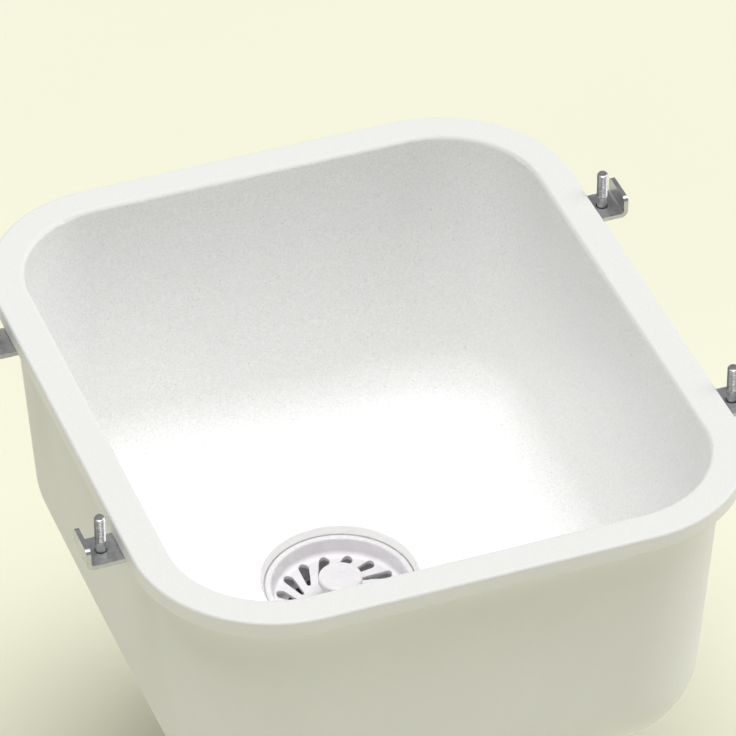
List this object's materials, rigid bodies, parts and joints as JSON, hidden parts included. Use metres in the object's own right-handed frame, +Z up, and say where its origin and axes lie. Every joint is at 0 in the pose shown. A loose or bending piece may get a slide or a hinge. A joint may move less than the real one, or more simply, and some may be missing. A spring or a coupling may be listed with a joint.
{
  "type": "undermount bar sink",
  "caption": "Small white undermount sink bowl with a rim flange, a lift-out basket strainer with a push-down stopper, a tailpiece and mounting clips.",
  "frame": {"origin": "centre of the bowl's opening, on the rim's top face", "axes": "+Z up out of the bowl, +Y towards the back (the drain's side), +X to the right"},
  "size_m": [0.37, 0.379, 0.3572],
  "materials": {
    "solid_surface": "satin moulded solid surface, white with a fine grain",
    "body_plastic": "moulded white plastic, semi-gloss",
    "basket_plastic": "moulded white plastic with a cool cast, semi-gloss",
    "pipe_plastic": "moulded white pipe fitting plastic",
    "nylon": "natural nylon",
    "sealant": "white sealant, wiped flush",
    "black_rubber": "matt black rubber",
    "fibre": "pressed fibre",
    "steel": "zinc-plated or stainless steel"
  },
  "bodies": {
    "sink": {"sink_bowl": "solid_surface", "strainer_body": "body_plastic", "flange_seal": "sealant", "rubber_washer": "black_rubber", "friction_ring": "fibre", "locknut": "pipe_plastic", "coupling_nut": "pipe_plastic", "tailpiece": "pipe_plastic", "tailpiece_washer": "nylon", "clip_left_front": "steel", "clip_left_back": "steel", "clip_right_front": "steel", "clip_right_back": "steel", "clip_bolts": "steel", "clip_washers": "steel"},
    "basket": {"basket_cup": "basket_plastic"},
    "ring": {"post_ring": "black_rubber"},
    "plunger": {"knob": "basket_plastic", "post": "basket_plastic", "stopper": "black_rubber", "stopper_washer": "steel", "stopper_screw": "steel"}
  },
  "joints": [
    {"name": "basket_lift", "type": "slide", "parent": "sink", "child": "basket", "axis": [0, 0, 1], "range_m": [0, 0.24]},
    {"name": "stopper_travel", "type": "slide", "parent": "basket", "child": "ring", "axis": [0, 0, 1], "range_m": [-0.0045, 0]},
    {"name": "plunger_turn", "type": "hinge", "parent": "ring", "child": "plunger", "pos_m": [0, 0.032, -0.1965], "axis": [0, 0, 1], "continuous": true}
  ]
}
